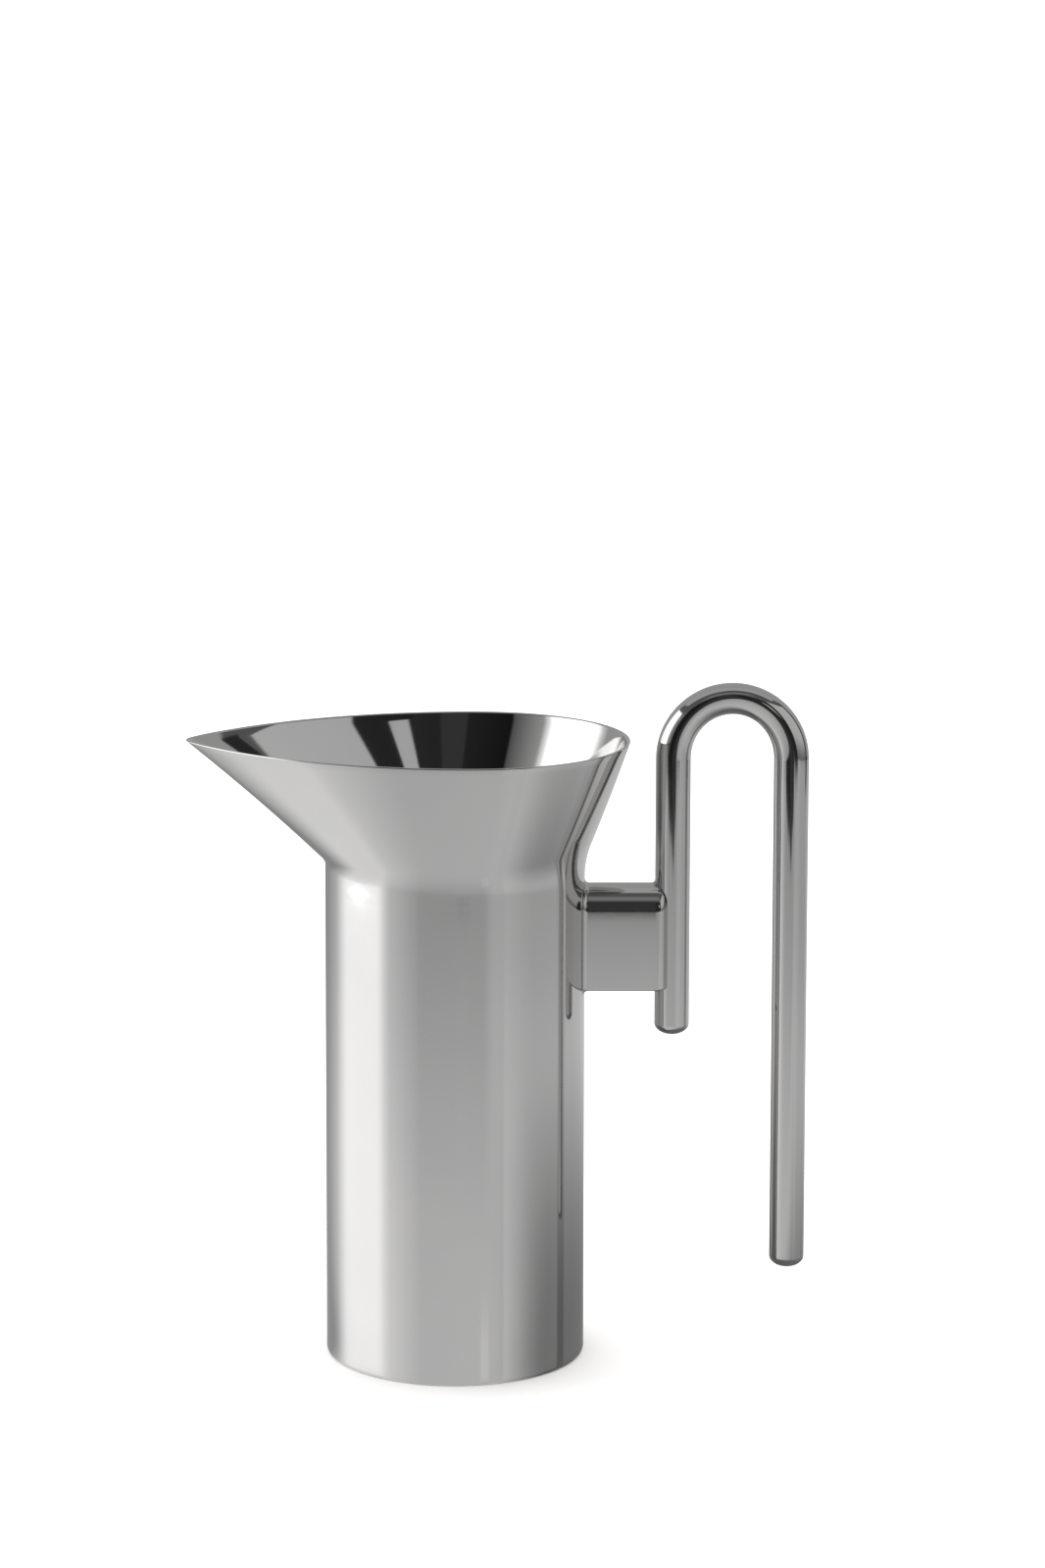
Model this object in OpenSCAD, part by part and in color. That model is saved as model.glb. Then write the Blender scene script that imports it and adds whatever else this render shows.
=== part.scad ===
// Water pitcher in polished silver-coloured sheet metal. The body stands on z = 0 with its axis on
// +Z, the pouring tip points to -X and the cane-shaped handle stands on the +X side.

/* [Body] */
// Outside diameter of the straight body
body_d = 89; // [70:1:110]
// Sheet thickness of the body tube
body_wall = 1.2; // [0.8:0.1:2]
// Height of the neck, where the straight body turns into the flared mouth
neck_h = 173.5; // [130:0.5:220]

/* [Mouth] */
// Height of the flared mouth above the neck
mouth_h = 41; // [30:0.5:60]
// How far the pouring tip reaches out past the body
spout_out = 47.6; // [30:0.1:60]
// How far the back of the rim reaches out past the body
rear_out = 15.4; // [8:0.1:18]
// How far the sides of the rim reach out past the body
side_out = 8.8; // [4:0.1:14]
// Radius of the pouring tip, seen from above
tip_r = 8; // [3:0.5:12]
// Sheet thickness of the mouth
mouth_wall = 1.2; // [0.8:0.1:2]
// Half the height of the bend at the neck, below the pouring tip
front_bend = 2; // [0.5:0.5:6]
// Half the height of the bend at the neck, at the back
rear_bend = 6; // [0.5:0.5:8]
// How hollow the wall's profile is below the pouring tip: 0 is straight
front_hollow = 0.1; // [-0.2:0.01:0.3]
// How hollow the wall's profile is at the back: less than 0 bulges
rear_hollow = -0.09; // [-0.2:0.01:0.3]
// Straight wall between the neck's bend and the step above the seam with the body tube
seam_drop = 0.6; // [0.2:0.2:6]
// Depth of the set-in lap below the seam, inside the body tube
lap_h = 8; // [4:0.5:15]

/* [Base] */
// Height of the foot ring below the body tube
foot_h = 4; // [3:0.5:8]
// Radial width of the foot ring
foot_w = 5; // [3.5:0.1:8]
// Radius of the outer lower edge of the foot ring
foot_edge_r = 1.5; // [0.5:0.1:2.5]
// Height of the foot ring's inner lip, which stands inside the body tube
foot_lip_h = 2; // [1.5:0.5:4]
// Sheet thickness of the base pan
base_t = 1.5; // [1:0.1:3]
// Height of the base pan's upturned rim
base_rim_h = 6; // [4:0.5:12]

/* [Handle] */
// Diameter of the round handle tube
rod_d = 12; // [9:0.5:15]
// Wall of the handle tube
rod_wall = 1.2; // [0.8:0.1:2]
// Free space between the body and the short leg of the handle
leg_clear = 24; // [20:0.5:32]
// Distance between the axes of the two legs
leg_spacing = 40.3; // [34:0.1:52]
// Height of the handle's crown above the rim
crown_rise = 19.5; // [10:0.5:30]
// Height of the long leg's end above the ground
long_end_h = 28.9; // [10:0.1:60]
// How far the short leg hangs below the bracket
short_tail = 16.8; // [8:0.1:30]
// Height of the domed ends of the handle
dome_h = 3.8; // [2:0.1:6]
// Length of the end caps' spigots, inside the handle tube
spigot_l = 7; // [4:0.5:12]

/* [Bracket] */
// Width of the bracket, across the pitcher
bracket_w = 17; // [14:0.5:22]
// Height of the bracket
bracket_h = 36.2; // [26:0.1:50]
// Distance from the neck down to the top of the bracket
bracket_drop = 9; // [8.5:0.5:20]
// Sheet thickness of the folded bracket cover
bracket_sheet = 1.2; // [0.8:0.1:2]
// Radius of the lower edges of the bracket cover
bracket_edge_r = 1; // [0.4:0.1:1.2]
// Thickness of the bracket's floor plate
floor_t = 1.5; // [1:0.1:3]
// Thickness of the curved plate against the body
saddle_t = 2; // [1:0.1:4]
// Thickness of the plate against the handle
cradle_t = 3.2; // [2.5:0.1:5]
// How deep the handle lies in its plate
cradle_sink = 1.2; // [0.5:0.1:1.8]

/* [Rivets] */
// Shank diameter of the two rivets that hold the handle
rivet_d = 4; // [3:0.1:5]
// Head diameter of the rivets
rivet_head_d = 6.5; // [5.5:0.1:7.5]
// Head thickness of the rivets
rivet_head_t = 1; // [0.6:0.1:1.5]
// Distance between the two rivets
rivet_spacing = 16; // [12:0.5:20]
// How far a rivet's closed end stands inside the handle tube
rivet_inside = 1; // [0.5:0.1:2]

/* [Fits] */
// Clearance for solder between pieces that fit into each other
solder_gap = 0.05; // [0.03:0.01:0.12]

/* [Hidden] */
$fn = 96;
sheet_colour = "silver";
inner_colour = "gainsboro";

body_r = body_d / 2;
body_bore_r = body_r - body_wall;
// The mouth's sheet steps inwards over this height, to pass inside the body tube below the seam
step_h = 2 * mouth_wall;
seam_z = neck_h - max(front_bend, rear_bend) - seam_drop - step_h;
rim_z = neck_h + mouth_h;

rod_r = rod_d / 2;
rod_bore_r = rod_r - rod_wall;
short_leg_x = body_r + leg_clear + rod_r;
long_leg_x = short_leg_x + leg_spacing;
bend_r = leg_spacing / 2;
bend_z = rim_z + crown_rise - bend_r - rod_r;
bracket_top = neck_h - bracket_drop;
bracket_bottom = bracket_top - bracket_h;
short_end_h = bracket_bottom - short_tail;
bracket_end_x = short_leg_x - rod_r + cradle_sink;
cradle_x = bracket_end_x - cradle_t;
rivet_mid_z = (bracket_top + bracket_bottom) / 2;
// Length that a cut runs past the face it opens
past = 1;

// ---- mouth: three arcs make the rim's outline, a round tip, two flat sides and a round back ----
mouth_steps = 96;
rear_r = body_r + side_out;
rear_cx = rear_out - side_out;
tip_cx = -(body_r + spout_out - tip_r);
tip_dist = rear_cx - tip_cx;
side_r = (tip_dist * tip_dist + rear_r * rear_r - tip_r * tip_r) / (2 * (rear_r - tip_r));
side_end = 90 + asin(tip_dist / (side_r - tip_r));

function dir(a) = [cos(a), sin(a)];
// Point of the rim's outline whose outward normal points at angle a
function half_rim(a) =
    a <= 90 ? [rear_cx, 0] + rear_r * dir(a) :
    a <= side_end ? [rear_cx, rear_r - side_r] + side_r * dir(a) :
    [tip_cx, 0] + tip_r * dir(a);
function rim_point(a) =
    a <= 180 ? half_rim(a) : [half_rim(360 - a)[0], -half_rim(360 - a)[1]];
// A value that goes from its front to its rear size round the mouth
function around(a, front, rear) = (front + rear) / 2 + (rear - front) / 2 * cos(a);
// How far the wall has left the straight body at height z: 0 at the neck and 1 at the rim
function flare(a, z) =
    let (
        bend = around(a, front_bend, rear_bend),
        s = z - neck_h,
        t = s >= bend ? s / mouth_h : pow(max(s + bend, 0), 2) / (4 * bend * mouth_h)
    )
    t - around(a, front_hollow, rear_hollow) * t * (1 - t);
// Thickness of the wall measured level, so that a slanting wall keeps its sheet thickness
function level_wall(a, f) =
    let (run = (rim_point(a) - body_r * dir(a)) * dir(a))
    mouth_wall * (1 + f * (sqrt(1 + pow(run / mouth_h, 2)) - 1));
function outer_point(a, z) =
    let (f = flare(a, z))
    (1 - f) * body_r * dir(a) + f * rim_point(a);
function inner_point(a, z) = outer_point(a, z) - level_wall(a, flare(a, z)) * dir(a);
function raised(p, z) = [p[0], p[1], z];

bend_steps = 4;
wall_steps = 5;
// Heights of the section's points at angle a: through the bend, then up to the rim
function wall_heights(a) =
    let (bend = around(a, front_bend, rear_bend), bend_top = neck_h + bend)
    concat(
        [for (i = [0 : bend_steps]) neck_h - bend + 2 * bend * i / bend_steps],
        [for (i = [1 : wall_steps]) bend_top + (rim_z - bend_top) * i / wall_steps]
    );
lap_outer_r = body_bore_r - solder_gap;
lap_inner_r = lap_outer_r - mouth_wall;

// Closed section of the mouth's sheet at angle a: lap, seam shoulder, outside up, inside down
function mouth_section(a) =
    let (heights = wall_heights(a), last = len(heights) - 1)
    concat(
        [
            raised(lap_outer_r * dir(a), seam_z - lap_h),
            raised(lap_outer_r * dir(a), seam_z),
            raised(body_r * dir(a), seam_z)
        ],
        [for (z = heights) raised(outer_point(a, z), z)],
        [for (i = [last : -1 : 0]) raised(inner_point(a, heights[i]), heights[i])],
        [
            raised((body_r - mouth_wall) * dir(a), seam_z + step_h),
            raised(lap_inner_r * dir(a), seam_z),
            raised(lap_inner_r * dir(a), seam_z - lap_h)
        ]
    );

module mouth_collar() {
    sections = [for (i = [0 : mouth_steps - 1]) mouth_section(360 * i / mouth_steps)];
    n = len(sections[0]);
    points = [for (section = sections) each section];
    faces = [
        for (i = [0 : mouth_steps - 1], j = [0 : n - 1])
        let (i2 = (i + 1) % mouth_steps, j2 = (j + 1) % n)
        each [
            [i * n + j, i * n + j2, i2 * n + j2],
            [i * n + j, i2 * n + j2, i2 * n + j]
        ]
    ];
    color(sheet_colour) polyhedron(points, faces);
}

module body_tube() {
    color(sheet_colour)
    translate([0, 0, foot_h])
    difference() {
        cylinder(r = body_r, h = seam_z - foot_h);
        translate([0, 0, -past]) cylinder(r = body_bore_r, h = seam_z - foot_h + 2 * past);
    }
}

// Quarter arc of a section, as points around centre c from angle a0 to a1
function arc(c, r, a0, a1, steps) = [for (i = [0 : steps]) c + r * dir(a0 + (a1 - a0) * i / steps)];

module foot_ring() {
    lip_r = body_bore_r - solder_gap;
    color(sheet_colour)
    rotate_extrude()
    polygon(concat(
        [[body_r - foot_w, 0]],
        arc([body_r - foot_edge_r, foot_edge_r], foot_edge_r, -90, 0, 8),
        [
            [body_r, foot_h], [lip_r, foot_h],
            [lip_r, foot_h + foot_lip_h], [body_r - foot_w, foot_h + foot_lip_h]
        ]
    ));
}

module base_pan() {
    pan_r = body_bore_r - solder_gap;
    pan_z = foot_h + foot_lip_h;
    color(inner_colour)
    translate([0, 0, pan_z])
    difference() {
        cylinder(r = pan_r, h = base_rim_h);
        translate([0, 0, base_t]) cylinder(r = pan_r - base_t, h = base_rim_h);
    }
}

module handle_leg(x, end_z) {
    translate([x, 0, end_z + dome_h]) cylinder(r = rod_r, h = bend_z - end_z - dome_h);
}

module handle_leg_bore(x, end_z) {
    translate([x, 0, end_z + dome_h - past]) cylinder(r = rod_bore_r, h = bend_z - end_z - dome_h + past);
}

module handle_bend(r) {
    translate([short_leg_x + bend_r, 0, bend_z])
    rotate([90, 0, 0])
    rotate_extrude(angle = 180)
    translate([bend_r, 0])
    circle(r = r);
}

module handle_tube() {
    color(sheet_colour)
    difference() {
        union() {
            handle_leg(short_leg_x, short_end_h);
            handle_leg(long_leg_x, long_end_h);
            handle_bend(rod_r);
        }
        handle_leg_bore(short_leg_x, short_end_h);
        handle_leg_bore(long_leg_x, long_end_h);
        handle_bend(rod_bore_r);
        rivet_holes();
    }
}

// Domed end of a handle leg, turned in one piece with the spigot that fits in the tube
module leg_cap(x, end_z) {
    spigot_r = rod_bore_r - solder_gap;
    dome = [for (i = [0 : 10]) [rod_r * sin(9 * i), dome_h * (1 - cos(9 * i))]];
    color(sheet_colour)
    translate([x, 0, end_z])
    rotate_extrude()
    polygon(concat(dome, [[spigot_r, dome_h], [spigot_r, dome_h + spigot_l], [0, dome_h + spigot_l]]));
}

module short_leg_cap() {
    leg_cap(short_leg_x, short_end_h);
}

module long_leg_cap() {
    leg_cap(long_leg_x, long_end_h);
}

// Upright outline of the bracket, seen along X, with a full round top, shrunk by inset all round
module bracket_outline(inset) {
    half_w = bracket_w / 2 - inset;
    round_z = bracket_top - bracket_w / 2;
    edge_r = max(bracket_edge_r - inset, 0);
    low_z = bracket_bottom + inset;
    translate([0, round_z]) circle(r = half_w);
    translate([-half_w, low_z + edge_r]) square([2 * half_w, round_z - low_z - edge_r]);
    if (edge_r > 0) {
        translate([edge_r - half_w, low_z]) square([2 * (half_w - edge_r), edge_r]);
        for (side = [-1, 1]) translate([side * (half_w - edge_r), low_z + edge_r]) circle(r = edge_r);
    }
}

// The outline as a bar from inside the body's surface out to x_end
module bracket_bar(inset, x_end) {
    x_start = body_r / 2;
    translate([x_start, 0, 0])
    rotate([90, 0, 90])
    linear_extrude(height = x_end - x_start)
    bracket_outline(inset);
}

// Column that takes away everything nearer to the body's axis than its surface plus gap
module body_column(gap) {
    translate([0, 0, bracket_bottom - past]) cylinder(r = body_r + gap, h = bracket_h + 2 * past);
}

// Column of the handle's short leg plus its solder gap
module rod_column() {
    translate([short_leg_x, 0, bracket_bottom - past])
    cylinder(r = rod_r + solder_gap, h = bracket_h + 2 * past);
}

module bracket_cover() {
    inner_w = bracket_w - 2 * bracket_sheet;
    inner_round_z = bracket_top - bracket_w / 2;
    color(sheet_colour)
    difference() {
        bracket_bar(0, bracket_end_x);
        bracket_bar(bracket_sheet, bracket_end_x + past);
        translate([0, -inner_w / 2, bracket_bottom - past])
        cube([bracket_end_x + past, inner_w, inner_round_z - bracket_bottom + past]);
        body_column(solder_gap);
        rod_column();
    }
}

module bracket_floor() {
    floor_w = bracket_w - 2 * (bracket_sheet + solder_gap);
    color(inner_colour)
    difference() {
        translate([body_r / 2, -floor_w / 2, bracket_bottom])
        cube([bracket_end_x - body_r / 2, floor_w, floor_t]);
        body_column(solder_gap);
        rod_column();
    }
}

// Room inside the cover and above the floor plate, up to x_end
module bracket_room(x_end) {
    intersection() {
        bracket_bar(bracket_sheet + solder_gap, x_end);
        translate([0, -bracket_w / 2, bracket_bottom + floor_t]) cube([x_end, bracket_w, bracket_h]);
    }
}

module bracket_saddle() {
    color(inner_colour)
    difference() {
        intersection() {
            bracket_room(cradle_x);
            body_column(solder_gap + saddle_t);
        }
        body_column(solder_gap);
    }
}

module rivet_places() {
    for (side = [-1, 1]) translate([0, 0, rivet_mid_z + side * rivet_spacing / 2]) children();
}

module rivet_holes() {
    rivet_places()
    translate([cradle_x - past, 0, 0])
    rotate([0, 90, 0])
    cylinder(r = rivet_d / 2 + solder_gap, h = short_leg_x - cradle_x + past);
}

module bracket_cradle() {
    color(inner_colour)
    difference() {
        bracket_room(bracket_end_x);
        translate([0, -bracket_w, bracket_bottom - past])
        cube([cradle_x, 2 * bracket_w, bracket_h + 2 * past]);
        rod_column();
        rivet_holes();
    }
}

module rivet(side) {
    shank_end = short_leg_x - rod_bore_r + rivet_inside;
    color(inner_colour)
    translate([cradle_x, 0, rivet_mid_z + side * rivet_spacing / 2])
    rotate([0, 90, 0]) {
        cylinder(r = rivet_d / 2, h = shank_end - cradle_x);
        translate([0, 0, -rivet_head_t]) cylinder(r = rivet_head_d / 2, h = rivet_head_t);
    }
}

module upper_rivet() {
    rivet(1);
}

module lower_rivet() {
    rivet(-1);
}

body_tube();
mouth_collar();
base_pan();
foot_ring();
handle_tube();
short_leg_cap();
long_leg_cap();
bracket_cover();
bracket_floor();
bracket_saddle();
bracket_cradle();
upper_rivet();
lower_rivet();
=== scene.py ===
"""Looks of the polished water pitcher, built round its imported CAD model. Every length is in metres."""
import math

import bmesh
import bpy
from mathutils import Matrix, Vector
from mathutils.geometry import tessellate_polygon


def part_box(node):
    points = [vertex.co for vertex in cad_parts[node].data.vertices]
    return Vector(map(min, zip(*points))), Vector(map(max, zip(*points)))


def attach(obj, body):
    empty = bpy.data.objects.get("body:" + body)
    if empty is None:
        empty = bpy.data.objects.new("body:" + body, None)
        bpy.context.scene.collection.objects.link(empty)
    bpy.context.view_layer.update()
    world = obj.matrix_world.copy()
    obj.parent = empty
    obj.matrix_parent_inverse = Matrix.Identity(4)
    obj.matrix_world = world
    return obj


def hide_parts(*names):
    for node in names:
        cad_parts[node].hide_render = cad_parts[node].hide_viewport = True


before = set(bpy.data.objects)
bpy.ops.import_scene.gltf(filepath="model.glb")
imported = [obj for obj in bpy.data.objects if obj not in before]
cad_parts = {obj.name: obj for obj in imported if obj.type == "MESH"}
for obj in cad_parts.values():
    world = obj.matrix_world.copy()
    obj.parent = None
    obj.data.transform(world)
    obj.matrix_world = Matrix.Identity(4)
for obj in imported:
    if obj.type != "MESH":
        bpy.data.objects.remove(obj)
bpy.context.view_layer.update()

MM = 0.001

# ---- sizes that the frame gives ----
tube_low, tube_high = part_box("body_tube")
collar_low, collar_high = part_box("mouth_collar")
foot_low, foot_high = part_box("foot_ring")
pan_low, pan_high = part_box("base_pan")
handle_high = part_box("handle_tube")[1]
short_cap_low, short_cap_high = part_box("short_leg_cap")
long_cap_low, long_cap_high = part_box("long_leg_cap")
cover_low, cover_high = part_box("bracket_cover")
plate_low, plate_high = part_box("bracket_floor")

body_r = tube_high.x
foot_top = tube_low.z
seam_z = tube_high.z
rim_z = collar_high.z
rod_r = handle_high.y
short_leg_x = (short_cap_low.x + short_cap_high.x) / 2
long_leg_x = (long_cap_low.x + long_cap_high.x) / 2
bend_r = (long_leg_x - short_leg_x) / 2
bend_z = handle_high.z - bend_r - rod_r

# ---- sizes of the sheet work, the same as the CAD model's ----
wall = 1.2 * MM
solder_gap = 0.05 * MM
mouth_h = 41 * MM
neck_z = rim_z - mouth_h
step_h = 2 * wall
front_bend = 2 * MM
rear_bend = 6 * MM
front_hollow = 0.1
rear_hollow = -0.09
tip_r = 8 * MM
foot_edge_r = 1.5 * MM
foot_w = 5 * MM
base_t = 1.5 * MM
dome_h = 3.8 * MM
spigot_l = 7 * MM
fillet_r = 1.5 * MM
turn_in = 3 * MM

ROUND_STEPS = 288
ROD_STEPS = 96
FILLET_STEPS = 8
# A corner radius this much of the half width is a full round, with hardly any flat left between the two
FULL_ROUND = 0.999


# ---- mesh work ----
def dense(points, longest):
    """The closed outline with points added, so that no stretch of it is longer than longest."""
    filled = []
    for here, ahead in zip(points, points[1:] + points[:1]):
        pieces = max(1, math.ceil((ahead - here).length / longest))
        filled += [here.lerp(ahead, k / pieces) for k in range(pieces)]
    return filled


def rounded(corners, steps=8):
    """Closed outline through corners (across, up, radius), each turned with its own radius."""
    points = []
    for i, (across, up, radius) in enumerate(corners):
        here = Vector((across, up))
        if radius == 0:
            points.append(here)
            continue
        back = (Vector(corners[i - 1][:2]) - here).normalized()
        ahead = (Vector(corners[(i + 1) % len(corners)][:2]) - here).normalized()
        half = back.angle(ahead) / 2
        centre = here + (back + ahead).normalized() * radius / math.sin(half)
        start = here + back * radius / math.tan(half) - centre
        end = here + ahead * radius / math.tan(half) - centre
        turn = math.atan2(start.x * end.y - start.y * end.x, start.dot(end))
        for k in range(steps + 1):
            c, s = math.cos(turn * k / steps), math.sin(turn * k / steps)
            points.append(centre + Vector((start.x * c - start.y * s, start.x * s + start.y * c)))
    return points


def skin(name, rings, crease=35, end=None):
    """A closed mesh through rings of points: each ring is a loop, and the last ring joins the first.
    Where end is given, its triangles close the first and the last ring instead."""
    mesh = bpy.data.meshes.new(name)
    size = len(rings[0])
    faces = [
        (i * size + j, i * size + (j + 1) % size, (i + 1) % len(rings) * size + (j + 1) % size,
         (i + 1) % len(rings) * size + j)
        for i in range(len(rings) if end is None else len(rings) - 1)
        for j in range(size)
    ]
    if end is not None:
        last = (len(rings) - 1) * size
        faces += [tuple(t) for t in end]
        faces += [tuple(last + k for k in t) for t in end]
    mesh.from_pydata([p for ring in rings for p in ring], [], faces)
    build = bmesh.new()
    build.from_mesh(mesh)
    bmesh.ops.remove_doubles(build, verts=build.verts, dist=0.002 * MM)
    bmesh.ops.dissolve_degenerate(build, edges=build.edges, dist=0.001 * MM)
    bmesh.ops.recalc_face_normals(build, faces=build.faces)
    build.to_mesh(mesh)
    build.free()
    mesh.shade_smooth()
    mesh.set_sharp_from_angle(angle=math.radians(crease))
    piece = bpy.data.objects.new(name, mesh)
    bpy.context.scene.collection.objects.link(piece)
    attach(piece, "root")
    return piece


def turned(name, outline, centre_x=0.0, steps=ROUND_STEPS):
    """A piece turned round an upright axis from a closed outline of (radius, height) points."""
    rings = []
    for i in range(steps):
        a = 2 * math.pi * i / steps
        rings.append([(centre_x + p.x * math.cos(a), p.x * math.sin(a), p.y) for p in outline])
    return skin(name, rings)


# ---- mouth: a round tip, two flat sides and a round back, with the curvature eased where they meet ----
rear_reach = collar_high.x - body_r
side_reach = collar_high.y - body_r
back_r = body_r + side_reach
back_x = rear_reach - side_reach
tip_x = collar_low.x + tip_r
tip_run = back_x - tip_x
side_r = (tip_run ** 2 + back_r ** 2 - tip_r ** 2) / (2 * (back_r - tip_r))
side_end = math.pi / 2 + math.asin(tip_run / (side_r - tip_r))
EASE = math.radians(9)
EASE_STEPS = 12


def facing(a):
    """The level direction at angle a, which is 0 towards the handle."""
    return Vector((math.cos(a), math.sin(a)))


def rim_arc(a):
    """Centre and radius of the rim's arc whose outward normal points at angle a."""
    turn = abs((a + math.pi) % (2 * math.pi) - math.pi)
    side = 1 if math.sin(a) >= 0 else -1
    if turn <= math.pi / 2:
        return Vector((back_x, 0)), back_r
    if turn <= side_end:
        return Vector((back_x, side * (back_r - side_r))), side_r
    return Vector((tip_x, 0)), tip_r


def eased_rim(a):
    """Rim point at angle a, from the mean of the arcs near it, which eases each change of curvature."""
    out, along, total = 0.0, 0.0, 0.0
    for k in range(-EASE_STEPS, EASE_STEPS + 1):
        near = a + EASE * k / EASE_STEPS
        share = math.cos(math.pi / 2 * k / (EASE_STEPS + 1)) ** 2
        centre, radius = rim_arc(near)
        out += share * (radius + centre.dot(facing(near)))
        along += share * centre.dot(facing(near + math.pi / 2))
        total += share
    return facing(a) * out / total + facing(a + math.pi / 2) * along / total


eased_tip = eased_rim(math.pi).x
eased_back = eased_rim(0).x
eased_half_w = eased_rim(math.pi / 2).y


def rim_point(a):
    """Rim point at angle a, fitted to the CAD model's reach to the front, back and sides."""
    p = eased_rim(a)
    share = (p.x - eased_tip) / (eased_back - eased_tip)
    return Vector((
        collar_low.x + share * (collar_high.x - collar_low.x),
        p.y * collar_high.y / eased_half_w,
    ))


def around(a, front, rear):
    """A size that changes round the mouth, from front at its tip to rear at the handle."""
    return (front + rear) / 2 + (rear - front) / 2 * math.cos(a)


def mouth_section(a):
    """The mouth's sheet cut at angle a: up the outside, over the lip, down the inside and round the lap."""
    rim = rim_point(a)
    out = facing(a)
    bend = around(a, front_bend, rear_bend)
    hollow = around(a, front_hollow, rear_hollow)
    run = (rim - body_r * out).dot(out)
    slant = math.sqrt(1 + (run / mouth_h) ** 2) - 1

    def flare(z):
        s = z - neck_z
        t = s / mouth_h if s >= bend else max(s + bend, 0) ** 2 / (4 * bend * mouth_h)
        return t - hollow * t * (1 - t)

    def outside(z, inset=0.0):
        p = (1 - flare(z)) * body_r * out + flare(z) * rim - inset * out
        return (p.x, p.y, z)

    def inside(z, inset=0.0):
        return outside(z, wall * (1 + flare(z) * slant) - inset)

    def level(radius, z):
        return (radius * out.x, radius * out.y, z)

    lip_r = 0.45 * MM
    lap_edge = 0.3 * MM
    low = neck_z - bend
    top = neck_z + bend
    heights = [seam_z + (low - seam_z) * k / 2 for k in range(2)]
    heights += [low + 2 * bend * k / 14 for k in range(14)]
    heights += [top + (rim_z - lip_r - top) * k / 16 for k in range(16)]
    lip = [math.pi / 2 * k / 5 for k in range(6)]
    lap_out = body_r - wall - solder_gap
    lap_in = lap_out - wall
    points = [level(body_r, seam_z)] + [outside(z) for z in heights[1:]]
    points += [outside(rim_z - lip_r * (1 - math.sin(t)), lip_r * (1 - math.cos(t))) for t in lip]
    points += [inside(rim_z - lip_r * (1 - math.sin(t)), lip_r * (1 - math.cos(t))) for t in lip[::-1]]
    points += [inside(z) for z in heights[:1:-1]]
    points += [level(body_r - wall, seam_z + step_h), level(lap_in, seam_z)]
    points += [level(lap_in, collar_low.z + lap_edge), level(lap_in + lap_edge, collar_low.z)]
    points += [level(lap_out, collar_low.z), level(lap_out, seam_z)]
    return points


def make_mouth():
    rings = [mouth_section(2 * math.pi * i / ROUND_STEPS) for i in range(ROUND_STEPS)]
    piece = skin("mouth_skin", rings)
    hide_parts("mouth_collar")
    return piece


# ---- body, foot and base ----
def make_body():
    bore = body_r - wall
    corners = ((bore, foot_top), (body_r, foot_top), (body_r, seam_z), (bore, seam_z))
    piece = turned("body_skin", dense([Vector(p) for p in corners], 4 * MM))
    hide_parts("body_tube")
    return piece


def make_foot():
    lip = body_r - wall - solder_gap
    inner = body_r - foot_w
    outline = rounded([
        (inner, foot_low.z, 0.5 * MM), (body_r, foot_low.z, foot_edge_r), (body_r, foot_top, 0),
        (lip, foot_top, 0), (lip, foot_high.z, 0.2 * MM), (inner, foot_high.z, 0.3 * MM),
    ], 12)
    piece = turned("foot_rim", outline)
    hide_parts("foot_ring")
    return piece


def make_base():
    pan_r = pan_high.x
    corner_r = 3 * MM
    inner = pan_r - base_t
    floor_z = pan_low.z + base_t
    outline = rounded([
        (0, pan_low.z, 0), (pan_r, pan_low.z, 0.4 * MM), (pan_r, pan_high.z, 0.3 * MM),
        (inner, pan_high.z, 0.6 * MM), (inner, floor_z, corner_r), (0, floor_z, 0),
    ], 10)
    piece = turned("base_dish", dense(outline, 3 * MM))
    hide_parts("base_pan")
    return piece


# ---- handle: one bent tube with two domed ends, thinner over the crown than in the legs ----
def handle_path():
    """Stations along the tube: its centre, the direction away from the bend's centre, and how thin it is
    there, from 0 in the legs to 1 at the crown."""
    short_start = short_cap_low.z + dome_h
    long_start = long_cap_low.z + dome_h
    stations = []
    rows = 16
    for k in range(rows):
        z = short_start + (bend_z - short_start) * k / rows
        stations.append((Vector((short_leg_x, 0, z)), Vector((-1, 0, 0)), 0.0))
    turns = 72
    for k in range(turns + 1):
        t = math.pi * k / turns
        out = Vector((-math.cos(t), 0, math.sin(t)))
        centre = Vector((short_leg_x + bend_r, 0, bend_z)) + bend_r * out
        stations.append((centre, out, math.sin(t) ** 2))
    rows = 30
    for k in range(1, rows + 1):
        z = bend_z + (long_start - bend_z) * k / rows
        stations.append((Vector((long_leg_x, 0, z)), Vector((1, 0, 0)), 0.0))
    return stations


def make_handle():
    """The tube keeps its outer line over the crown, and its widest part and its inner line move outwards."""
    wide_shift = 2.0 * MM
    inner_shift = 1.25 * MM

    def ring(station, radius):
        centre, out, thin = station
        loop = []
        for k in range(ROD_STEPS):
            a = 2 * math.pi * k / ROD_STEPS
            half = radius - (wide_shift if math.cos(a) > 0 else inner_shift - wide_shift) * thin
            reach = half * math.cos(a) + wide_shift * thin
            loop.append(centre + out * reach + Vector((0, radius * math.sin(a), 0)))
        return loop

    stations = handle_path()
    rings = [ring(s, rod_r) for s in stations] + [ring(s, rod_r - wall) for s in stations[::-1]]
    piece = skin("handle_skin", rings)
    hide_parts("handle_tube")
    return piece


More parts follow.
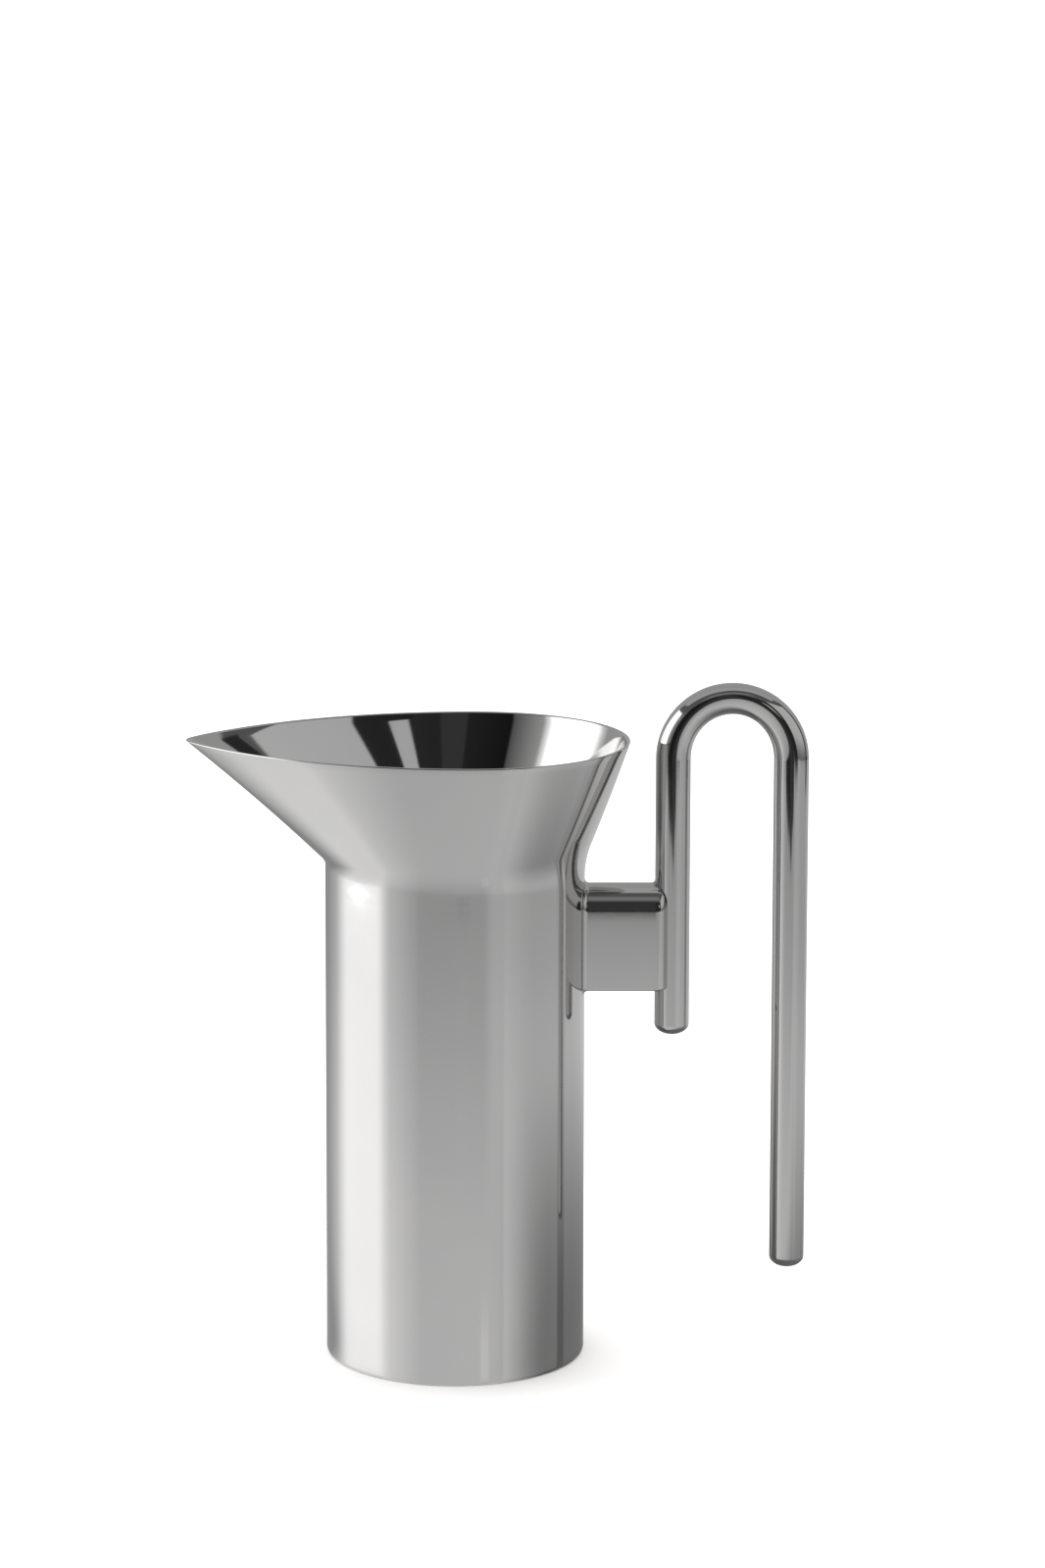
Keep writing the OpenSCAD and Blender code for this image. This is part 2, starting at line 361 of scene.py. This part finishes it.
def make_cap(name, node_name, centre_x, low_z):
    spigot_r = rod_r - wall - solder_gap
    spigot_edge = 0.4 * MM
    top = low_z + dome_h
    dome = [math.pi / 2 * k / 20 for k in range(21)]
    outline = [Vector((rod_r * math.sin(t), top - dome_h * math.cos(t))) for t in dome]
    outline += [Vector((spigot_r, top)), Vector((spigot_r, top + spigot_l - spigot_edge))]
    outline += [Vector((spigot_r - spigot_edge, top + spigot_l)), Vector((0, top + spigot_l))]
    piece = turned(name, outline, centre_x, ROD_STEPS)
    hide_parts(node_name)
    return piece


# ---- bracket: a folded cover and its floor plate, with a solder fillet against the body and the handle ----
def eased_step(x, low, high):
    t = min(max((x - low) / (high - low), 0), 1)
    return t * t * (3 - 2 * t)


def bracket_rings(outline, swells):
    """Rings along X from the body to the handle. Points that swell lean outwards in a fillet at both ends.
    The handle stands behind only the middle of the end, so only there is the end a fillet. At both sides of
    it the end turns in to the handle."""
    normals = []
    for i in range(len(outline)):
        run = outline[(i + 1) % len(outline)] - outline[i - 1]
        normals.append(Vector((run.y, -run.x)).normalized())
    arc = [math.pi / 2 * k / FILLET_STEPS for k in range(FILLET_STEPS + 1)]
    near = [(1 - math.cos(t), 1 - math.sin(t)) for t in arc]
    middle = 10
    rings = []
    for k in range(2 * len(near) + middle):
        ring = []
        for p, n, swell in zip(outline, normals, swells):
            behind = 1 - eased_step(abs(p.x), 0.55 * rod_r, rod_r)
            left = 2 * len(near) + middle - 1 - k
            at_body = near[k][1] if k < len(near) else 0.0
            at_rod = near[left][1] if left < len(near) else 0.0
            q = p + n * fillet_r * (at_body + behind * at_rod) * swell
            start = math.sqrt(body_r ** 2 - q.x ** 2) + solder_gap
            reach = min(abs(q.x), cover_high.y - turn_in)
            end = short_leg_x - math.sqrt(rod_r ** 2 - reach ** 2)
            long_r = fillet_r + (turn_in - fillet_r) * (1 - behind)
            if k < len(near):
                x = start + fillet_r * near[k][0]
            elif left < len(near):
                mirrored = near[FILLET_STEPS - left]
                x = end - behind * fillet_r * near[left][0] - (1 - behind) * turn_in * mirrored[1]
                q.x -= math.copysign(turn_in * (1 - behind) * mirrored[0], q.x)
            else:
                share = (k - len(near) + 1) / (middle + 1)
                x = start + fillet_r + (end - start - fillet_r - long_r) * share
            ring.append((x, q.x, q.y))
        rings.append(ring)
    return rings


def make_cover():
    half_w = cover_high.y
    inner = half_w - wall
    low, high = cover_low.z, cover_high.z
    edge_r = 1 * MM
    outside = rounded([
        (half_w, low, edge_r), (half_w, high, half_w * FULL_ROUND),
        (-half_w, high, half_w * FULL_ROUND), (-half_w, low, edge_r),
    ], 24)
    inside = rounded([
        (-inner, low, 0), (-inner, high - wall, inner * FULL_ROUND),
        (inner, high - wall, inner * FULL_ROUND), (inner, low, 0),
    ], 24)
    outline = outside + inside
    swells = [1.0] * len(outside) + [0.0] * len(inside)
    swells[len(outside)] = 1.0
    swells[-1] = 1.0
    end = tessellate_polygon([[p.to_3d() for p in outline]])
    piece = skin("bracket_shell", bracket_rings(outline, swells), end=end)
    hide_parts("bracket_cover")
    return piece


def make_plate():
    half_w = plate_high.y
    outline = dense([
        Vector((-half_w, plate_low.z)), Vector((half_w, plate_low.z)),
        Vector((half_w, plate_high.z)), Vector((-half_w, plate_high.z)),
    ], 1 * MM)
    swells = [1.0 if p.y < plate_low.z + 0.01 * MM else 0.0 for p in outline]
    end = tessellate_polygon([[p.to_3d() for p in outline]])
    piece = skin("bracket_underside", bracket_rings(outline, swells), end=end)
    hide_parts("bracket_floor")
    return piece


mouth = make_mouth()
body = make_body()
foot = make_foot()
base = make_base()
handle = make_handle()
short_cap = make_cap("short_end_dome", "short_leg_cap", short_leg_x, short_cap_low.z)
long_cap = make_cap("long_end_dome", "long_leg_cap", long_leg_x, long_cap_low.z)
cover = make_cover()
plate = make_plate()


# ---- materials ----
def linear(hex_colour):
    """An sRGB hex colour as linear RGBA."""
    parts = [int(hex_colour[i:i + 2], 16) / 255 for i in (1, 3, 5)]
    return [c / 12.92 if c <= 0.04045 else ((c + 0.055) / 1.055) ** 2.4 for c in parts] + [1.0]


def add(tree, kind, inputs=None, **settings):
    """Adds a node with its settings. An input is a value, or the output that it is linked to."""
    made = tree.nodes.new(kind)
    for name, value in settings.items():
        setattr(made, name, value)
    for name, value in (inputs or {}).items():
        if isinstance(value, bpy.types.NodeSocket):
            tree.links.new(value, made.inputs[name])
        else:
            made.inputs[name].default_value = value
    return made


def bare_metal(name):
    """A new metal, with its tree and the place on the piece that its patterns start from."""
    material = bpy.data.materials.new(name)
    material.use_nodes = True
    tree = material.node_tree
    tree.nodes["Principled BSDF"].inputs["Metallic"].default_value = 1.0
    return material, tree, add(tree, "ShaderNodeTexCoord").outputs["Object"]


def surface(tree, tint, rough, relief):
    """Gives a metal its colour, its roughness and its relief."""
    shader = tree.nodes["Principled BSDF"]
    for name, value in (("Base Color", tint), ("Roughness", rough), ("Normal", relief)):
        tree.links.new(value, shader.inputs[name])


def polished_steel(name, gloss, haze, marks):
    """Polished stainless steel sheet, buffed on a wheel: a mirror that is slightly soft, with faint cloudy
    haze left by the buff and very fine marks along its stroke. gloss is the lowest roughness, haze is what
    the buff and wear add, and marks stretches the marks along X, Y and Z."""
    material, tree, place = bare_metal(name)
    # Clouds of haze about 30 mm across, where the buff pressed more or less
    clouds = add(tree, "ShaderNodeTexNoise", {"Vector": place, "Scale": 1 / (30 * MM), "Detail": 3.0})
    # Buffing marks are about 0.02 mm apart, and are drawn 0.5 mm apart so that they show at all
    stretched = add(tree, "ShaderNodeMapping", {"Vector": place, "Scale": [m / (0.5 * MM) for m in marks]})
    strokes = add(
        tree, "ShaderNodeTexNoise", {"Vector": stretched.outputs["Vector"], "Scale": 1.0, "Detail": 2.0}
    )
    tint = add(
        tree, "ShaderNodeMix",
        {0: clouds.outputs["Fac"], 6: linear("#C4C3C3"), 7: linear("#CBCAC9")}, data_type="RGBA",
    )
    soft = add(
        tree, "ShaderNodeMapRange",
        {"Value": clouds.outputs["Fac"], "From Min": 0.3, "From Max": 0.7, "To Min": gloss,
         "To Max": gloss + haze},
    )
    fine = add(
        tree, "ShaderNodeMath", {0: strokes.outputs["Fac"], 1: haze, 2: soft.outputs["Result"]},
        operation="MULTIPLY_ADD",
    )
    # Wear: dulled spots a few millimetres across, where it is held and set down
    spots = add(tree, "ShaderNodeTexNoise", {"Vector": place, "Scale": 1 / (7 * MM), "Detail": 4.0})
    dulled = add(
        tree, "ShaderNodeMapRange",
        {"Value": spots.outputs["Fac"], "From Min": 0.58, "From Max": 0.75, "To Min": 0.0, "To Max": haze},
    )
    worn = add(
        tree, "ShaderNodeMath", {0: fine.outputs["Value"], 1: dulled.outputs["Result"]}, operation="ADD"
    )
    relief = add(
        tree, "ShaderNodeBump", {"Height": strokes.outputs["Fac"], "Strength": 1.0, "Distance": 0.0004 * MM}
    )
    surface(tree, tint.outputs[2], worn.outputs["Value"], relief.outputs["Normal"])
    return material


def spun_steel(name, light, dark):
    """Stainless steel dish spun on a lathe: satin, with rings of tool marks round its axis."""
    material, tree, place = bare_metal(name)
    # Tool marks about 0.1 mm apart, drawn 0.8 mm apart so that they show
    rings = add(
        tree, "ShaderNodeTexWave",
        {"Vector": place, "Scale": math.pi / (10 * 0.8 * MM), "Distortion": 1.5, "Detail": 2.0},
        wave_type="RINGS", rings_direction="Z",
    )
    tint = add(
        tree, "ShaderNodeMix", {0: rings.outputs["Fac"], 6: linear(dark), 7: linear(light)}, data_type="RGBA"
    )
    rough = add(
        tree, "ShaderNodeMapRange", {"Value": rings.outputs["Fac"], "To Min": 0.25, "To Max": 0.4},
    )
    relief = add(
        tree, "ShaderNodeBump", {"Height": rings.outputs["Fac"], "Strength": 1.0, "Distance": 0.004 * MM}
    )
    surface(tree, tint.outputs[2], rough.outputs["Result"], relief.outputs["Normal"])
    return material


def cut_steel(name, light, dark, grit):
    """Steel left as it was cut and soldered, inside the bracket: grey, grained and stained by heat."""
    material, tree, place = bare_metal(name)
    grain = add(tree, "ShaderNodeTexNoise", {"Vector": place, "Scale": 1 / grit, "Detail": 4.0})
    stain = add(tree, "ShaderNodeTexNoise", {"Vector": place, "Scale": 1 / (6 * MM), "Detail": 2.0})
    tint = add(
        tree, "ShaderNodeMix", {0: stain.outputs["Fac"], 6: linear(dark), 7: linear(light)}, data_type="RGBA"
    )
    rough = add(tree, "ShaderNodeMapRange", {"Value": grain.outputs["Fac"], "To Min": 0.3, "To Max": 0.55})
    relief = add(
        tree, "ShaderNodeBump", {"Height": grain.outputs["Fac"], "Strength": 1.0, "Distance": 0.02 * MM}
    )
    surface(tree, tint.outputs[2], rough.outputs["Result"], relief.outputs["Normal"])
    return material


body_steel = polished_steel("buffed_steel_body", 0.05, 0.02, (1, 1, 0.03))
mouth_steel = polished_steel("buffed_steel_mouth", 0.04, 0.015, (1, 1, 0.2))
rod_steel = polished_steel("buffed_steel_rod", 0.05, 0.02, (1, 1, 0.05))
fold_steel = polished_steel("buffed_steel_fold", 0.05, 0.02, (0.05, 1, 1))
dish_steel = spun_steel("spun_steel_dish", "#DEDDDB", "#D2D1CF")
plate_steel = cut_steel("cut_steel_plate", "#B4B2AE", "#8F8C88", 0.4 * MM)
rivet_steel = cut_steel("headed_steel_rivet", "#BDBBB7", "#A19E9A", 0.25 * MM)

finishes = {
    body: body_steel, mouth: mouth_steel, foot: body_steel, base: dish_steel, handle: rod_steel,
    short_cap: rod_steel, long_cap: rod_steel, cover: fold_steel, plate: fold_steel,
    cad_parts["bracket_saddle"]: plate_steel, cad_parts["bracket_cradle"]: plate_steel,
    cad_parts["upper_rivet"]: rivet_steel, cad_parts["lower_rivet"]: rivet_steel,
}
for piece, material in finishes.items():
    piece.data.materials.clear()
    piece.data.materials.append(material)


# ---- camera ----
def make_camera():
    """A long lens from in front and a little above. Its shift lets it look down less than it would have to,
    so upright edges stay nearly upright."""
    data = bpy.data.cameras.new("camera")
    data.lens = 109.1
    data.sensor_width = 36
    data.shift_x = 0.043
    data.shift_y = -0.15
    data.clip_start = 0.05
    data.clip_end = 100
    camera = bpy.data.objects.new("camera", data)
    bpy.context.scene.collection.objects.link(camera)
    camera.location = (0, -1.594, 0.5173)
    camera.rotation_euler = (math.radians(90 - 8.46), 0, 0)
    bpy.context.scene.camera = camera


make_camera()


# ---- studio: a pale floor under soft light, and panels that only the polished metal sees ----
def stage_mesh(name, corners, material):
    mesh = bpy.data.meshes.new(name)
    mesh.from_pydata(corners, [], [tuple(range(len(corners)))])
    made = bpy.data.objects.new(name, mesh)
    bpy.context.scene.collection.objects.link(made)
    made.data.materials.append(material)
    return made


def only_in_reflections(thing):
    thing.visible_camera = False
    thing.visible_diffuse = False
    thing.visible_transmission = False
    thing.visible_volume_scatter = False
    thing.visible_shadow = False


def make_floor():
    """A sheet of matt white paper, wide enough to reach the horizon."""
    material = bpy.data.materials.new("matt_paper")
    material.use_nodes = True
    shader = material.node_tree.nodes["Principled BSDF"]
    shader.inputs["Base Color"].default_value = linear("#F4F3F2")
    shader.inputs["Roughness"].default_value = 0.9
    shader.inputs["Specular IOR Level"].default_value = 0.0
    half = 30
    corners = [(-half, -half, 0), (half, -half, 0), (half, half, 0), (-half, half, 0)]
    floor = stage_mesh("floor", corners, material)
    floor.visible_glossy = False


def glow(name):
    """An empty material with its tree and its output node."""
    material = bpy.data.materials.new(name)
    material.use_nodes = True
    material.node_tree.nodes.clear()
    return material, material.node_tree, material.node_tree.nodes.new("ShaderNodeOutputMaterial")


def make_floor_card():
    """What the polished metal sees of the floor: a glowing card with painted light and painted shade. It is
    grey at the front, has a painted pool of light at the left, and painted shade behind and at the right,
    where the pitcher would shade it. It mirrors the panels at a low angle."""
    material, tree, output = glow("painted_light_floor_glow")
    place = add(tree, "ShaderNodeTexCoord").outputs["Object"]
    axes = add(tree, "ShaderNodeSeparateXYZ", {0: place})
    front = add(tree, "ShaderNodeMath", {0: axes.outputs["Y"], 1: -1.0}, operation="MULTIPLY")
    turn = add(tree, "ShaderNodeMath", {0: axes.outputs["X"], 1: front.outputs["Value"]}, operation="ARCTAN2")
    azimuth = add(tree, "ShaderNodeMath", {0: turn.outputs["Value"]}, operation="DEGREES").outputs["Value"]
    far = add(tree, "ShaderNodeVectorMath", {0: place}, operation="LENGTH").outputs["Value"]
    # The round body mirrors a near spot towards the front as if it stood further round
    near = add(tree, "ShaderNodeMath", {0: body_r, 1: far}, operation="DIVIDE").outputs["Value"]
    swing = add(tree, "ShaderNodeMath", {0: near, 1: 1.5}, operation="POWER").outputs["Value"]
    heading = add(
        tree, "ShaderNodeMath", {0: azimuth, 1: swing, 2: azimuth}, operation="MULTIPLY_ADD"
    ).outputs["Value"]
    # Each patch of painted light or painted shade is a product of eased steps, given as: along what, from,
    # to, low and high. The middle patch is the floor's painted brightness, the left patch a painted pool of
    # light, the front right patch a painted brightening, and the two right shade patches the pitcher's
    # painted shadow.
    patches = {
        "middle": ((far, 0.05, 0.85, 0.72, 0.46), (heading, -165, -115, 0.4, 1.0)),
        "left": ((heading, -75, -25, 0.22, 0.0), (heading, -155, -102, 0.0, 1.0)),
        "front right": ((heading, 23, 35, 0.0, 0.12), (far, 0.15, 0.6, 0.0, 1.0)),
        "right shade": ((heading, 36, 75, 0.0, -0.11),),
        "right shade near the foot": ((heading, 30, 95, 0.0, -0.46), (far, 0.06, 0.5, 1.0, 0.0)),
    }
    lit = 0.0
    for label, steps in patches.items():
        patch = 1.0
        for along, start, end, low, high in steps:
            eased = add(
                tree, "ShaderNodeMapRange",
                {"Value": along, "From Min": start, "From Max": end, "To Min": low, "To Max": high},
                interpolation_type="SMOOTHSTEP",
            )
            patch = add(
                tree, "ShaderNodeMath", {0: eased.outputs["Result"], 1: patch}, operation="MULTIPLY"
            ).outputs["Value"]
        lit = add(
            tree, "ShaderNodeMath", {0: lit, 1: patch}, operation="ADD", label=label
        ).outputs["Value"]
    edge = add(tree, "ShaderNodeFresnel", {"IOR": 1.5}).outputs["Fac"]
    # The painted light and painted shade of the floor glow from this emission, which stands in for how the
    # lamps light the floor and the pitcher shades it
    light = add(tree, "ShaderNodeEmission", {"Strength": lit})
    mirror = add(tree, "ShaderNodeBsdfGlossy", {"Color": edge, "Roughness": 0.02})
    both = add(tree, "ShaderNodeAddShader", {0: light.outputs["Emission"], 1: mirror.outputs["BSDF"]})
    tree.links.new(both.outputs["Shader"], output.inputs["Surface"])
    rim = 1.25
    lift = 0.05 * MM
    corners = [(rim * math.cos(a), rim * math.sin(a), lift) for a in [math.pi * k / 48 for k in range(96)]]
    only_in_reflections(stage_mesh("painted_light_floor_card", corners, material))


def make_room():
    """The dim room round the set, which gives the metal its dark parts."""
    material, tree, output = glow("dim_room")
    light = add(tree, "ShaderNodeEmission", {"Strength": 0.13})
    tree.links.new(light.outputs["Emission"], output.inputs["Surface"])
    build = bmesh.new()
    bmesh.ops.create_icosphere(build, subdivisions=5, radius=6)
    mesh = bpy.data.meshes.new("room")
    build.to_mesh(mesh)
    build.free()
    room = bpy.data.objects.new("room", mesh)
    bpy.context.scene.collection.objects.link(room)
    mesh.materials.append(material)
    only_in_reflections(room)


def make_panel(name, corners, bright, soft):
    """A glowing cloth panel. Its corners go along its lower edge and back along its upper one. bright is how
    bright it is, or a pair for its first and second corner. soft is how much of it fades out at its first,
    second, lower and upper edge."""
    material, tree, output = glow(name)
    place = add(tree, "ShaderNodeSeparateXYZ", {0: add(tree, "ShaderNodeTexCoord").outputs["UV"]})
    along, up = place.outputs["X"], place.outputs["Y"]
    mask = 1.0
    for across, edge, reach in zip((along, along, up, up), (0, 1, 0, 1), soft):
        if reach == 0:
            continue
        fade = add(
            tree, "ShaderNodeMapRange",
            {"Value": across, "From Min": edge, "From Max": abs(edge - reach)},
            interpolation_type="SMOOTHSTEP",
        )
        mask = add(
            tree, "ShaderNodeMath", {0: fade.outputs["Result"], 1: mask}, operation="MULTIPLY"
        ).outputs["Value"]
    if isinstance(bright, tuple):
        level = add(tree, "ShaderNodeMapRange", {"Value": along, "To Min": bright[0], "To Max": bright[1]})
        bright = level.outputs["Result"]
    light = add(tree, "ShaderNodeEmission", {"Strength": bright}).outputs["Emission"]
    clear = add(tree, "ShaderNodeBsdfTransparent").outputs["BSDF"]
    mixed = add(tree, "ShaderNodeMixShader", {0: mask, 1: clear, 2: light})
    tree.links.new(mixed.outputs["Shader"], output.inputs["Surface"])
    panel = stage_mesh(name, corners, material)
    sheet = panel.data.uv_layers.new(name="sheet")
    for loop, uv in enumerate(((0, 0), (1, 0), (1, 1), (0, 1))):
        sheet.data[loop].uv = uv
    only_in_reflections(panel)


def upright(first, second, distance, low, high):
    """Corners of an upright panel between two azimuths, in degrees from the front towards the right."""
    (x0, y0), (x1, y1) = [
        (distance * math.sin(math.radians(a)), -distance * math.cos(math.radians(a))) for a in (first, second)
    ]
    return [(x0, y0, low), (x1, y1, low), (x1, y1, high), (x0, y0, high)]


def make_lights():
    """Two large softboxes for the floor: one overhead and behind, one at the left."""
    for name, place, size, power in (
        ("overhead_softbox", (0.0, 0.7, 2.2), 2.4, 26.0), ("left_softbox", (-1.8, 0.2, 1.3), 1.4, 9.0),
    ):
        data = bpy.data.lights.new(name, "AREA")
        data.size = size
        data.energy = power
        light = bpy.data.objects.new(name, data)
        bpy.context.scene.collection.objects.link(light)
        light.location = place
        light.rotation_euler = (Vector((0, 0, 0.1)) - Vector(place)).to_track_quat("-Z", "Y").to_euler()
        light.visible_glossy = False


def make_world():
    world = bpy.data.worlds.new("studio")
    world.use_nodes = True
    world.node_tree.nodes["Background"].inputs["Color"].default_value = linear("#FFFFFF")
    world.node_tree.nodes["Background"].inputs["Strength"].default_value = 1.25
    bpy.context.scene.world = world


make_floor()
make_floor_card()
make_room()
make_panel("front_flag", upright(-34, 21, 0.95, 0.0, 0.78), (0.01, 0.03), (0.05, 0.02, 0.0, 0.05))
make_panel("front_sheen", upright(0, 12, 0.81, 0.0, 0.78), 0.05, (0.1, 0.1, 0.0, 0.05))
make_panel("front_strip", upright(22, 32, 1.1, 0.3, 0.54), 0.6, (0.06, 0.06, 0.1, 0.05))
make_panel("right_flag", upright(20, 44, 1.12, 0.0, 0.85), (0.02, 0.03), (0.02, 0.02, 0.0, 0.05))
make_panel("right_panel", upright(42, 103, 1.0, 0.0, 0.88), (0.62, 0.66), (0.03, 0.03, 0.4, 0.02))
make_panel("rear_right_flag", upright(100, 113, 1.1, 0.0, 1.1), 0.03, (0.02, 0.1, 0.0, 0.05))
make_panel("left_panel", upright(-58, -130, 0.95, 0.0, 0.85), 2.6, (0.24, 0.35, 0.0, 0.05))
make_panel("left_grey", upright(-32, -64, 1.0, 0.0, 0.8), (0.1, 0.5), (0.05, 0.05, 0.0, 0.1))
make_panel("rear_panel", upright(108, 240, 1.9, 0.0, 2.3), 0.45, (0.1, 0.1, 0.0, 0.1))
high_front = [(1.0, -1.5, 1.5), (-1.0, -1.5, 1.5), (-0.8, -1.2, 2.3), (0.8, -1.2, 2.3)]
make_panel("high_front_panel", high_front, 0.25, (0.1, 0.1, 0.1, 0.1))
overhead = [(1.9, -0.35, 2.1), (-1.9, -0.35, 2.1), (-1.9, 2.6, 1.9), (1.9, 2.6, 1.9)]
make_panel("overhead_panel", overhead, 0.5, (0.05, 0.05, 0.04, 0.05))
make_lights()
make_world()
bpy.context.scene.view_settings.view_transform = "Standard"
